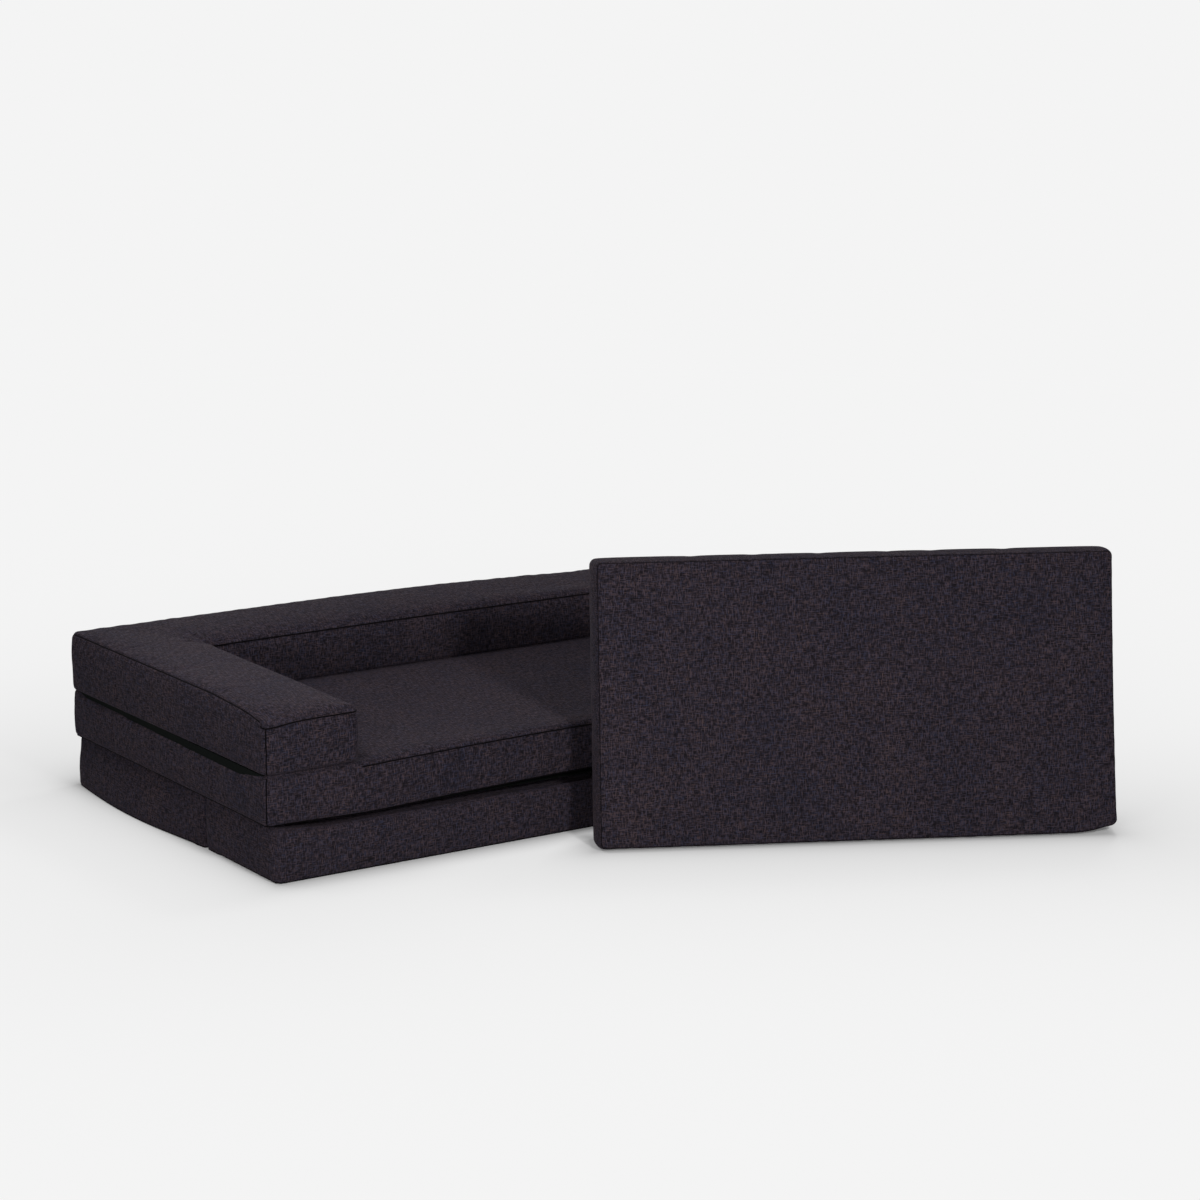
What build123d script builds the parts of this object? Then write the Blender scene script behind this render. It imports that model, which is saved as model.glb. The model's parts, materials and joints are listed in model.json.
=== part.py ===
# Folding floor sofa bed of upholstered foam, with its loose back cushion standing in front.
#
# Frame: millimetres, +Z up, and the front looks along -Y. The origin is on the floor, under the
# middle of the lower layer.
#
# Layers from the floor up: a front and a rear lower block, the seat slab, and a U-shaped rail that
# makes the back and both arms. The lower blocks fold out from under the slab about the crease at
# the slab's front edge. The loose cushion stands on a long edge in front of the seat, turned and
# leaning a little, and its foot is squashed flat where it carries the weight.
from build123d import *
from math import cos, radians, sin
import os

os.makedirs("parts", exist_ok=True)

# Lower layer
base_wide = 1596.0
base_deep = 955.0
base_tall = 123.0
base_front_deep = 324.0
block_gap = 0.6
base_foot_roll = 11.0
base_top_roll = 8.0
base_corner = 20.0

# Seat slab
slab_overhang = 17.0
slab_setback = 13.0
slab_deep = 922.0
slab_tall = 112.0
slab_roll = 8.0
seat_crown = 5.0
seat_margin = 4.0
crease_gap = 1.6

# U-shaped rail
arm_wide = 235.0
back_deep = 223.0
rail_tall = 131.0
rail_foot_roll = 6.0
rail_roll = 13.0
rail_gap = 0.4
rail_crown = 6.0

# Loose cushion
cushion_wide = 1156.0
cushion_high = 636.0
cushion_thick = 132.0
cushion_roll = 9.0
cushion_corner = 16.0
cushion_crown = 6.0
cushion_draw = 5.0
cushion_turn = 26.2
cushion_lean = 8.4
cushion_sink = 14.0
cushion_left = 40.0
cushion_clear = 61.0

# Upholstery common to all pieces
cover_thick = 1.6
plan_corner = 14.0
side_draw = 3.0
crown_run = 60.0
seam_radius = 1.4
piping_radius = 3.2
seam_gap = 0.2

# Crease strips, and the lining that shows along the sides under the rail
strip_thick = 1.0
strip_deep = 70.0
strip_inset = 12.0
lining_tall = 21.0
lining_deep = 5.0
lining_inset = 3.0
lining_front_taper = 100.0
lining_rear_taper = 45.0
lining_end = 16.0

# Zips
tape_wide = 24.0
tape_thick = 1.0
chain_wide = 6.0
chain_thick = 1.4
slider_wide = 9.0
slider_long = 12.0
slider_tall = 2.6
slider_gap = 0.3
slider_corner = 1.5
pull_wide = 5.0
pull_long = 26.0
pull_thick = 1.2
pull_corner = 2.0
pull_eye_radius = 1.2
zip_end = 10.0
wide_zip_long = 1150.0
cushion_zip_long = 460.0
block_zip_long = 220.0

# Turn of each step round a rolled edge, as shares of a quarter turn
roll_shares = (0.0, 1 / 3, 2 / 3, 1.0)
quarter_turn = 90.0
half_quarter = radians(quarter_turn / 2)

# Levels and lines that follow from the sizes
crease_level = base_tall + crease_gap / 2
slab_bottom = base_tall + crease_gap
slab_top = slab_bottom + slab_tall
rail_bottom = slab_top + rail_gap
base_front = -base_deep / 2
base_rear = base_deep / 2
base_rear_deep = base_deep - base_front_deep - block_gap
slab_wide = base_wide + 2 * slab_overhang
slab_front = base_front + slab_setback
slab_rear = slab_front + slab_deep
slab_middle = slab_front + slab_deep / 2
recess_wide = slab_wide - 2 * arm_wide
back_face = slab_rear - back_deep


def roll_steps(radius):
    """Height above the flat face and inset from the side, for each step round a rolled edge."""
    steps = []
    for share in roll_shares:
        angle = radians(quarter_turn * share)
        steps.append((radius * (1 - cos(angle)), radius * (1 - sin(angle))))
    return steps


def stuffed_levels(tall, foot_roll, top_roll, draw, foot_crown, top_crown, skin):
    """Height and inset of each section of a stuffed block: crowns, rolled edges, drawn-in seams.

    A skin above zero gives the same block inside a cover that thick, with its heights measured
    from the outer foot.
    """
    levels = []
    if foot_crown > 0:
        levels.append((skin, draw + foot_roll + crown_run))
    for height, inset in roll_steps(foot_roll - skin):
        levels.append((foot_crown + skin + height, draw + skin + inset))
    levels.append((tall / 2, skin))
    for height, inset in reversed(roll_steps(top_roll - skin)):
        levels.append((tall - top_crown - skin - height, draw + skin + inset))
    if top_crown > 0:
        levels.append((tall - skin, draw + top_roll + crown_run))
    return levels


def block_sections(plane, wide, deep, corner, levels):
    """Rounded rectangles stacked along a plane's normal, centred on its origin."""
    sections = []
    for height, inset in levels:
        with BuildSketch(plane.offset(height), mode=Mode.PRIVATE) as section:
            RectangleRounded(wide - 2 * inset, deep - 2 * inset, corner)
        sections.append(section.sketch.face())
    return sections


def rail_corners(inset):
    """Corners of the rail's U-shaped outline, open to the front, drawn in on every side."""
    out = slab_wide / 2 - inset
    arm = recess_wide / 2 + inset
    front = slab_front + inset
    rear = slab_rear - inset
    face = back_face + inset
    left = [(-out, rear), (-out, front), (-arm, front), (-arm, face)]
    right = [(arm, face), (arm, front), (out, front), (out, rear)]
    return left + right


def rail_sections(levels):
    """The rail's outline at each level of its height."""
    sections = []
    for height, inset in levels:
        with BuildSketch(Plane.XY.offset(rail_bottom + height), mode=Mode.PRIVATE) as section:
            with BuildLine():
                FilletPolyline(*rail_corners(inset), radius=plan_corner, close=True)
            make_face()
        sections.append(section.sketch.face())
    return sections


def loop_wire(plane, wide, deep, corner):
    """A rounded rectangle on a plane, as a path."""
    with BuildSketch(plane, mode=Mode.PRIVATE) as loop:
        RectangleRounded(wide, deep, corner)
    return loop.sketch.face().outer_wire()


def edge_plane(wire):
    """The plane square to a path at its start."""
    return Plane(origin=wire @ 0, z_dir=wire % 0)


# Lower blocks. Each is a foam core in a sewn cover, rolled most along the edges at the floor.
base_levels = stuffed_levels(base_tall, base_foot_roll, base_top_roll, side_draw, 0, 0, 0)
base_core_levels = stuffed_levels(base_tall, base_foot_roll, base_top_roll, side_draw, 0, 0, cover_thick)
front_block_plane = Plane(origin=(0, base_front + base_front_deep / 2, 0))
rear_block_plane = Plane(origin=(0, base_rear - base_rear_deep / 2, 0))
base_core_corner = base_corner - cover_thick

with BuildPart() as base_front_core:
    loft(
        sections=block_sections(
            front_block_plane, base_wide, base_front_deep, base_core_corner, base_core_levels
        ),
        ruled=True,
    )
base_front_core.part.label = "base_front_core"
export_step(base_front_core.part, "parts/base_front_core.step")

with BuildPart() as base_front_cover:
    loft(
        sections=block_sections(front_block_plane, base_wide, base_front_deep, base_corner, base_levels),
        ruled=True,
    )
    add(base_front_core.part, mode=Mode.SUBTRACT)
base_front_cover.part.label = "base_front_cover"
export_step(base_front_cover.part, "parts/base_front_cover.step")

with BuildPart() as base_rear_core:
    loft(
        sections=block_sections(
            rear_block_plane, base_wide, base_rear_deep, base_core_corner, base_core_levels
        ),
        ruled=True,
    )
base_rear_core.part.label = "base_rear_core"
export_step(base_rear_core.part, "parts/base_rear_core.step")

with BuildPart() as base_rear_cover:
    loft(
        sections=block_sections(rear_block_plane, base_wide, base_rear_deep, base_corner, base_levels),
        ruled=True,
    )
    add(base_rear_core.part, mode=Mode.SUBTRACT)
base_rear_cover.part.label = "base_rear_cover"
export_step(base_rear_cover.part, "parts/base_rear_cover.step")

# Cloth strips in the creases: one joins the two lower blocks, one joins the front block to the slab.
# They lie in the thin space between the lower layer and the slab.
strip_bottom = crease_level - strip_thick / 2
strip_wide = base_wide - 2 * base_corner - 2 * base_top_roll

with BuildPart() as middle_crease_strip:
    with BuildSketch(Plane.XY.offset(strip_bottom)):
        with Locations((0, base_front + base_front_deep + block_gap / 2)):
            Rectangle(strip_wide, strip_deep)
    extrude(amount=strip_thick)
middle_crease_strip.part.label = "middle_crease_strip"
export_step(middle_crease_strip.part, "parts/middle_crease_strip.step")

with BuildPart() as front_crease_strip:
    with BuildSketch(Plane.XY.offset(strip_bottom)):
        with Locations((0, slab_front + strip_inset + strip_deep / 2)):
            Rectangle(strip_wide, strip_deep)
    extrude(amount=strip_thick)
front_crease_strip.part.label = "front_crease_strip"
export_step(front_crease_strip.part, "parts/front_crease_strip.step")

# Linings along the slab's sides: their top is the slab's top edge, and their lower edge bows down
lining_front = slab_front + lining_end
lining_rear = slab_rear - lining_end
lining_low = slab_top - lining_tall
lining_outline = [
    (lining_front, slab_top),
    (lining_front + lining_front_taper, lining_low),
    (lining_rear - lining_rear_taper, lining_low),
    (lining_rear, slab_top),
]
lining_heart = slab_wide / 2 - lining_inset - lining_deep

with BuildPart() as right_lining:
    with BuildSketch(Plane.YZ.offset(lining_heart)) as lining_shape:
        with BuildLine():
            Polyline(*lining_outline, close=True)
        make_face()
    extrude(amount=lining_deep)
right_lining.part.label = "right_lining"
export_step(right_lining.part, "parts/right_lining.step")

with BuildPart() as left_lining:
    mirror(right_lining.part, about=Plane.YZ)
left_lining.part.label = "left_lining"
export_step(left_lining.part, "parts/left_lining.step")

with BuildPart() as lining_rooms:
    with BuildSketch(Plane.YZ.offset(lining_heart)):
        with BuildLine():
            Polyline(*lining_outline, close=True)
        make_face()
    extrude(amount=lining_deep + lining_inset)
    mirror(about=Plane.YZ)

# Seat slab, with a low crown between the arms and the back
core_corner = plan_corner - cover_thick
slab_plane = Plane(origin=(0, slab_middle, slab_bottom))
slab_levels = stuffed_levels(slab_tall, slab_roll, slab_roll, side_draw, 0, 0, 0)
slab_core_levels = stuffed_levels(slab_tall, slab_roll, slab_roll, side_draw, 0, 0, cover_thick)
seat_front = slab_front + side_draw + slab_roll
seat_wide = recess_wide - 2 * seat_margin
seat_deep = back_face - seat_margin - seat_front
seat_plane = Plane(origin=(0, seat_front + seat_deep / 2, slab_top))
seat_levels = [(0, 0), (seat_crown, crown_run)]

with BuildPart() as slab_core:
    loft(
        sections=block_sections(slab_plane, slab_wide, slab_deep, core_corner, slab_core_levels),
        ruled=True,
    )
    add(lining_rooms.part, mode=Mode.SUBTRACT)
slab_core.part.label = "slab_core"
export_step(slab_core.part, "parts/slab_core.step")

with BuildPart() as slab_cover:
    loft(
        sections=block_sections(slab_plane, slab_wide, slab_deep, plan_corner, slab_levels),
        ruled=True,
    )
    loft(
        sections=block_sections(seat_plane, seat_wide, seat_deep, plan_corner, seat_levels),
        ruled=True,
    )
    add(slab_core.part, mode=Mode.SUBTRACT)
    add(lining_rooms.part, mode=Mode.SUBTRACT)
slab_cover.part.label = "slab_cover"
export_step(slab_cover.part, "parts/slab_cover.step")

# Seam along the slab's front edge, between the arms
slab_seam_reach = (slab_roll + seam_radius + seam_gap) * cos(half_quarter)
slab_seam_y = seat_front - slab_seam_reach
slab_seam_z = slab_top - slab_roll + slab_seam_reach
slab_seam_end = recess_wide / 2 - seat_margin

with BuildPart() as slab_front_seam:
    with BuildLine() as slab_seam_path:
        Line((-slab_seam_end, slab_seam_y, slab_seam_z), (slab_seam_end, slab_seam_y, slab_seam_z))
    with BuildSketch(edge_plane(slab_seam_path.wire())):
        Circle(seam_radius)
    sweep(path=slab_seam_path.wire())
slab_front_seam.part.label = "slab_front_seam"
export_step(slab_front_seam.part, "parts/slab_front_seam.step")

# Rail: three foam cores, for the two arms and the back, in one U-shaped cover
rail_levels = stuffed_levels(rail_tall, rail_foot_roll, rail_roll, side_draw, 0, rail_crown, 0)
arm_core_levels = stuffed_levels(
    rail_tall, rail_foot_roll, rail_roll, side_draw, 0, rail_crown, cover_thick
)
core_front = slab_front
core_joint = back_face + side_draw + 2 * cover_thick
arm_core_deep = core_joint - core_front + side_draw + cover_thick
arm_core_x = slab_wide / 2 - arm_wide / 2
arm_core_y = core_front + arm_core_deep / 2
back_core_front = core_joint
back_core_deep = slab_rear - back_core_front + side_draw + cover_thick
back_core_y = slab_rear - back_core_deep / 2
left_arm_plane = Plane(origin=(-arm_core_x, arm_core_y, rail_bottom))
right_arm_plane = Plane(origin=(arm_core_x, arm_core_y, rail_bottom))
back_plane = Plane(origin=(0, back_core_y, rail_bottom))

with BuildPart() as left_arm_core:
    loft(
        sections=block_sections(left_arm_plane, arm_wide, arm_core_deep, core_corner, arm_core_levels),
        ruled=True,
    )
left_arm_core.part.label = "left_arm_core"
export_step(left_arm_core.part, "parts/left_arm_core.step")

with BuildPart() as right_arm_core:
    loft(
        sections=block_sections(right_arm_plane, arm_wide, arm_core_deep, core_corner, arm_core_levels),
        ruled=True,
    )
right_arm_core.part.label = "right_arm_core"
export_step(right_arm_core.part, "parts/right_arm_core.step")

with BuildPart() as back_rail_core:
    loft(
        sections=block_sections(back_plane, slab_wide, back_core_deep, core_corner, arm_core_levels),
        ruled=True,
    )
    add(left_arm_core.part, mode=Mode.SUBTRACT)
    add(right_arm_core.part, mode=Mode.SUBTRACT)
back_rail_core.part.label = "back_rail_core"
export_step(back_rail_core.part, "parts/back_rail_core.step")

with BuildPart() as rail_cover:
    loft(sections=rail_sections(rail_levels), ruled=True)
    add(left_arm_core.part, mode=Mode.SUBTRACT)
    add(right_arm_core.part, mode=Mode.SUBTRACT)
    add(back_rail_core.part, mode=Mode.SUBTRACT)
rail_cover.part.label = "rail_cover"
export_step(rail_cover.part, "parts/rail_cover.step")

# Seam along the rail's top edge, all the way round the U
rail_seam_reach = (rail_roll + seam_radius + seam_gap) * cos(half_quarter)
rail_seam_inset = side_draw + rail_roll - rail_seam_reach
rail_seam_z = rail_bottom + rail_tall - rail_crown - rail_roll + rail_seam_reach

with BuildPart() as rail_top_seam:
    with BuildLine(Plane.XY.offset(rail_seam_z)) as rail_seam_path:
        FilletPolyline(*rail_corners(rail_seam_inset), radius=plan_corner, close=True)
    with BuildSketch(edge_plane(rail_seam_path.wire())):
        Circle(seam_radius)
    sweep(path=rail_seam_path.wire())
rail_top_seam.part.label = "rail_top_seam"
export_step(rail_top_seam.part, "parts/rail_top_seam.step")

# Loose cushion: its plane lies on the back panel, with the normal towards the front panel
turned = radians(cushion_turn)
leaning = radians(cushion_lean)
across = Vector(cos(turned), -sin(turned), 0)
upward = Vector(sin(turned) * sin(leaning), cos(turned) * sin(leaning), cos(leaning))
forward = Vector(-sin(turned) * cos(leaning), -cos(turned) * cos(leaning), sin(leaning))
cushion_foot = Vector(-cushion_left, base_front - cushion_clear, -cushion_sink)
cushion_middle = cushion_foot + across * (cushion_wide / 2) + upward * (cushion_high / 2)
cushion_plane = Plane(origin=cushion_middle, x_dir=across, z_dir=forward)
cushion_levels = stuffed_levels(
    cushion_thick, cushion_roll, cushion_roll, cushion_draw, cushion_crown, cushion_crown, 0
)
cushion_core_levels = stuffed_levels(
    cushion_thick, cushion_roll, cushion_roll, cushion_draw, cushion_crown, cushion_crown, cover_thick
)

with BuildPart() as cushion_core:
    loft(
        sections=block_sections(
            cushion_plane,
            cushion_wide,
            cushion_high,
            cushion_corner - cover_thick,
            cushion_core_levels,
        ),
        ruled=True,
    )
    split(bisect_by=Plane.XY.offset(cover_thick), keep=Keep.TOP)
cushion_core.part.label = "cushion_core"
export_step(cushion_core.part, "parts/cushion_core.step")

with BuildPart() as cushion_cover:
    loft(
        sections=block_sections(
            cushion_plane, cushion_wide, cushion_high, cushion_corner, cushion_levels
        ),
        ruled=True,
    )
    split(bisect_by=Plane.XY, keep=Keep.TOP)
    add(cushion_core.part, mode=Mode.SUBTRACT)
cushion_cover.part.label = "cushion_cover"
export_step(cushion_cover.part, "parts/cushion_cover.step")

# Piping round both panels of the cushion
piping_reach = (cushion_roll + piping_radius + seam_gap) * cos(half_quarter)
piping_inset = cushion_draw + cushion_roll - piping_reach
piping_level = cushion_crown + cushion_roll - piping_reach
piping_wide = cushion_wide - 2 * piping_inset
piping_high = cushion_high - 2 * piping_inset

with BuildPart() as cushion_front_piping:
    front_loop = loop_wire(
        cushion_plane.offset(cushion_thick - piping_level), piping_wide, piping_high, cushion_corner
    )
    with BuildSketch(edge_plane(front_loop)):
        Circle(piping_radius)
    sweep(path=front_loop)
    split(bisect_by=Plane.XY, keep=Keep.TOP)
cushion_front_piping.part.label = "cushion_front_piping"
export_step(cushion_front_piping.part, "parts/cushion_front_piping.step")

with BuildPart() as cushion_back_piping:
    back_loop = loop_wire(
        cushion_plane.offset(piping_level), piping_wide, piping_high, cushion_corner
    )
    with BuildSketch(edge_plane(back_loop)):
        Circle(piping_radius)
    sweep(path=back_loop)
    split(bisect_by=Plane.XY, keep=Keep.TOP)
cushion_back_piping.part.label = "cushion_back_piping"
export_step(cushion_back_piping.part, "parts/cushion_back_piping.step")

# Zips, on the sides that face away: a tape with its chain, and a slider with a pull.
# Each plane's origin is the middle of the zip, on the cover, with X along the zip.
cushion_zip_origin = (
    cushion_middle + across * (cushion_wide / 2 + seam_gap) + forward * (cushion_thick / 2)
)
zips = [
    (
        "base_front",
        Plane(
            origin=(
                base_wide / 2 + seam_gap,
                base_front + base_front_deep / 2,
                base_tall / 2,
            ),
            x_dir=(0, 1, 0),
            z_dir=(1, 0, 0),
        ),
        block_zip_long,
    ),
    (
        "base_rear",
        Plane(
            origin=(0, base_rear + seam_gap, base_tall / 2), x_dir=(-1, 0, 0), z_dir=(0, 1, 0)
        ),
        wide_zip_long,
    ),
    (
        "slab",
        Plane(
            origin=(0, slab_rear + seam_gap, slab_bottom + slab_tall / 2),
            x_dir=(-1, 0, 0),
            z_dir=(0, 1, 0),
        ),
        wide_zip_long,
    ),
    (
        "rail",
        Plane(
            origin=(0, slab_rear + seam_gap, rail_bottom + rail_tall / 2),
            x_dir=(-1, 0, 0),
            z_dir=(0, 1, 0),
        ),
        wide_zip_long,
    ),
    (
        "cushion",
        Plane(origin=cushion_zip_origin, x_dir=upward, z_dir=across),
        cushion_zip_long,
    ),
]

for name, plane, length in zips:
    with BuildPart() as zip_tape:
        with BuildSketch(plane):
            Rectangle(length, tape_wide)
        extrude(amount=tape_thick)
        with BuildSketch(plane.offset(tape_thick)):
            Rectangle(length - 2 * zip_end, chain_wide)
        extrude(amount=chain_thick)
    zip_tape.part.label = name + "_zip"
    export_step(zip_tape.part, "parts/" + name + "_zip.step")

    slider_bottom = tape_thick + chain_thick + slider_gap
    slider_x = -length / 2 + zip_end + slider_long / 2
    pull_x = slider_x + pull_long / 2
    with BuildPart() as zip_slider:
        with BuildSketch(plane.offset(slider_bottom)):
            with Locations((slider_x, 0)):
                RectangleRounded(slider_long, slider_wide, slider_corner)
        extrude(amount=slider_tall)
        with BuildSketch(plane.offset(slider_bottom + slider_tall)):
            with Locations((pull_x, 0)):
                RectangleRounded(pull_long, pull_wide, pull_corner)
            with Locations((pull_x + pull_long / 2 - pull_wide / 2, 0)):
                Circle(pull_eye_radius, mode=Mode.SUBTRACT)
        extrude(amount=pull_thick)
    zip_slider.part.label = name + "_zip_slider"
    export_step(zip_slider.part, "parts/" + name + "_zip_slider.step")
    travel = length - 2 * zip_end - pull_long
    print(name, "zip travel", travel, "along", tuple(round(v, 6) for v in plane.x_dir))
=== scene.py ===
# %% [markdown]
# # A folding floor sofa bed and its loose cushion
# The solid model gives every size and every joint. Here the plain covers are swapped for sewn ones
# with crowns, puckers and seams, and each piece gets a finish made from nodes. Blender works in
# metres, so a width of 1.6 is 1.6 m.

# %% Load the solid model
import json
import math

import bpy
import numpy as np
from mathutils import Matrix, Vector


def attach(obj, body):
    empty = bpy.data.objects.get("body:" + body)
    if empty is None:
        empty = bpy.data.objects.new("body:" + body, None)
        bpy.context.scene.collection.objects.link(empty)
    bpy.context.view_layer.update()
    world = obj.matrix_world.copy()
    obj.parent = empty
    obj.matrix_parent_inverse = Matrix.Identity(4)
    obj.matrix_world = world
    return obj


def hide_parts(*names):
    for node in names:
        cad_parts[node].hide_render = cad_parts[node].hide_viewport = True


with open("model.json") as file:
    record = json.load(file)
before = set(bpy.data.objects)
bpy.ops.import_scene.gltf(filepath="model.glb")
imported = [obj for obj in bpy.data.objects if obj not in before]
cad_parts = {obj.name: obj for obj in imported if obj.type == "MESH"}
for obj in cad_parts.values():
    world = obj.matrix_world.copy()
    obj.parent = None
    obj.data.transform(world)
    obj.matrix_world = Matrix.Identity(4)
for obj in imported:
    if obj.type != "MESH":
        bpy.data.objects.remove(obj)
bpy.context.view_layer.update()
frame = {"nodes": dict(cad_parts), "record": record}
scene = bpy.context.scene

# %% [markdown]
# ## Camera
# The picture was taken with a long lens from standing height, in front of the left arm. The lens,
# the tilt and the place come from the vanishing points of the sofa's straight seams, so the camera
# is set by numbers and not by eye. A camera in Blender looks along its own -Z, with +Y up.

# %% Place the camera
PICTURE = 1200
FOCAL_PIXELS = 3600.0
PITCH, YAW, ROLL = math.radians(12.747), math.radians(33.76), math.radians(-0.202)
SENSOR = 36.0
FRONT_LEFT_CORNER = Vector((-0.798, -0.4775, 0.0))
EYE = FRONT_LEFT_CORNER + Vector((-3.486, -6.441, 2.273))
SEES_AS_FAR_AS = 60.0


def camera_axes(pitch, yaw, roll):
    """Right, up and backward directions of the camera."""
    level = math.cos(pitch)
    ahead = Vector((math.sin(yaw) * level, math.cos(yaw) * level, -math.sin(pitch)))
    right = Vector((math.cos(yaw), -math.sin(yaw), 0.0))
    down = ahead.cross(right)
    turned_right = right * math.cos(roll) + down * math.sin(roll)
    turned_down = down * math.cos(roll) - right * math.sin(roll)
    return turned_right, -turned_down, -ahead


camera = bpy.data.objects.new("camera", bpy.data.cameras.new("camera"))
scene.collection.objects.link(camera)
scene.camera = camera
camera.data.sensor_width = SENSOR
camera.data.lens = FOCAL_PIXELS * SENSOR / PICTURE
camera.data.clip_end = SEES_AS_FAR_AS
turned = Matrix(camera_axes(PITCH, YAW, ROLL)).transposed().to_4x4()
camera.matrix_world = Matrix.Translation(EYE) @ turned
print("lens", round(camera.data.lens, 1), "mm")

# %% [markdown]
# ## Sums of nodes
# The look of a surface is a tree of nodes. It could be built by linking node after node, but its
# sums are easier to read as Python sums. So the class below wraps a socket and makes one Math node
# for each sum, and a second one makes any other node in one call.

# %% A small wrapper that turns Python sums into shader nodes
class Value:
    """A shader socket that can be added, multiplied and so on, each time with one more node."""

    def __init__(self, tree, socket):
        self.tree, self.socket = tree, socket

    def math(self, operation, *others):
        """One Math node on this value and the others."""
        return self.tree.node("ShaderNodeMath", {"operation": operation}, *((self,) + others))

    def __add__(self, other):
        return self.math("ADD", other)

    def __rsub__(self, other):
        return self.tree.node("ShaderNodeMath", {"operation": "SUBTRACT"}, other, self)

    def __mul__(self, other):
        return self.math("MULTIPLY", other)

    __radd__ = __add__
    __rmul__ = __mul__


class Finish:
    """The nodes of a new material, or those of the owner that is given, such as the world."""

    def __init__(self, name, owner=None):
        self.owner = owner or bpy.data.materials.new(name)
        self.owner.use_nodes = True
        self.nodes = self.owner.node_tree.nodes
        self.links = self.owner.node_tree.links
        self.nodes.clear()

    def give(self, socket, value):
        """Link a value to a socket, or set a constant on it."""
        if isinstance(value, Value):
            self.links.new(value.socket, socket)
        else:
            socket.default_value = value

    def node(self, kind, settings=None, *values, out=0, **named):
        """One node: its settings first, then the values or links of its sockets, by place or name."""
        made = self.nodes.new(kind)
        for key, setting in (settings or {}).items():
            if key == "stops":
                fill_ramp(made.color_ramp, setting)
            else:
                setattr(made, key, setting)
        for place, value in enumerate(values):
            self.give(made.inputs[place], value)
        for key, value in named.items():
            self.give(made.inputs[key.replace("_", " ")], value)
        return Value(self, made.outputs[out])

    def surface(self, shader, output="ShaderNodeOutputMaterial"):
        """Let a shader be what is seen, and hand back the material or world."""
        self.links.new(shader.socket, self.nodes.new(output).inputs["Surface"])
        return self.owner

    def mix(self, factor, first, second):
        """A blend of two colours. The colour sockets of a Mix node are its 7th and 8th."""
        made = self.nodes.new("ShaderNodeMix")
        made.data_type = "RGBA"
        for place, value in ((0, factor), (6, first), (7, second)):
            self.give(made.inputs[place], value)
        return Value(self, made.outputs[2])

    def seen(self):
        """One where the camera looks, straight or by a mirror or glass, and zero for other light."""
        first = self.node("ShaderNodeLightPath")
        whole = first
        for ray in ("Is Glossy Ray", "Is Transmission Ray"):
            whole = whole.math("MAXIMUM", Value(self, first.socket.node.outputs[ray]))
        return whole


def fill_ramp(ramp, stops):
    """Stops of a colour ramp as (place, colour) pairs."""
    while len(ramp.elements) < len(stops):
        ramp.elements.new(1.0)
    for element, (place, colour) in zip(ramp.elements, stops):
        element.position = place
        element.color = colour if len(colour) == 4 else (*colour, 1.0)


def grey(level):
    """A colour without hue, as a socket takes it."""
    return (level, level, level, 1.0)


print("operators of a value:", [name for name in vars(Value) if name.startswith("__r")])

# %% [markdown]
# ## Floor
# The sofa stands on a seamless pale sweep, as in a photo studio. It could be made pale with more
# light, but then the cloth would turn grey. So its paleness is in its own colour: far from the sofa
# the camera sees plain colour, and close to it more and more of the floor takes light, which keeps
# the shadows under the edges dark.

# %% Floor
BASE_HALF, BASE_HALF_DEEP = 0.798, 0.4775
CUSHION_TURN = math.radians(26.2)
CUSHION_FOOTPRINT = ((0.450, -0.840, 0.0), 0.578, 0.056, -CUSHION_TURN)
FLOOR_SEEN, FLOOR_BOUNCE, BACKDROP = grey(0.84), grey(0.42), grey(0.905)
LIT_NEAR, NEAR_REACH = 0.42, 0.50
LIT_EDGE, EDGE_REACH = 0.46, 0.040
FLOOR_HALF = 30.0

sweep = Finish("pale_sweep")
floor_spot = sweep.node("ShaderNodeNewGeometry")


def outside(centre, half_wide, half_deep, turn):
    """Distance on the floor from a rectangle's edge, zero inside it."""
    spot = sweep.node(
        "ShaderNodeMapping", {"vector_type": "TEXTURE"}, floor_spot, Location=centre, Rotation=(0, 0, turn)
    )
    steps = (("ABSOLUTE",), ("SUBTRACT", (half_wide, half_deep, 0)), ("MAXIMUM", (0, 0, 0)))
    for operation, *other in steps:
        spot = sweep.node("ShaderNodeVectorMath", {"operation": operation}, spot, *other)
    return sweep.node("ShaderNodeVectorMath", {"operation": "LENGTH"}, spot, out=1)


gap_to_base = outside((0, 0, 0), BASE_HALF, BASE_HALF_DEEP, 0.0)
gap = gap_to_base.math("MINIMUM", outside(*CUSHION_FOOTPRINT))
near = (gap * (-1 / NEAR_REACH)).math("EXPONENT")
edge = (gap * (-1 / EDGE_REACH)).math("EXPONENT")
lit_share = near * LIT_NEAR + edge * LIT_EDGE
seen = sweep.seen()
lit = sweep.node("ShaderNodeBsdfDiffuse", None, Color=sweep.mix(seen, FLOOR_BOUNCE, FLOOR_SEEN))
plain = sweep.node("ShaderNodeEmission", None, Color=BACKDROP, Strength=1.0)
floor_look = sweep.node("ShaderNodeMixShader", None, seen * (1 - lit_share), lit, plain)

corners = [(x * FLOOR_HALF, y * FLOOR_HALF, 0) for x, y in ((-1, -1), (1, -1), (1, 1), (-1, 1))]
floor_mesh = bpy.data.meshes.new("floor")
floor_mesh.from_pydata(corners, [], [(0, 1, 2, 3)])
floor = bpy.data.objects.new("floor", floor_mesh)
floor.data.materials.append(sweep.surface(floor_look))
scene.collection.objects.link(floor)
print("floor", FLOOR_HALF * 2, "m wide")

# %% [markdown]
# ## Room and lamps
# Five square lamps light the sofa. The key lamp stands low in front of the seat, so the loose cushion
# throws its shadow back across the seat. A low one at the left front lights the side, one high on the
# right lights the tops, a small one hangs over the arm, and a weak low one behind gives the back some
# light. One large lamp would be simpler, but it would leave no such shadow. A pale room fills the rest.

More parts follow.
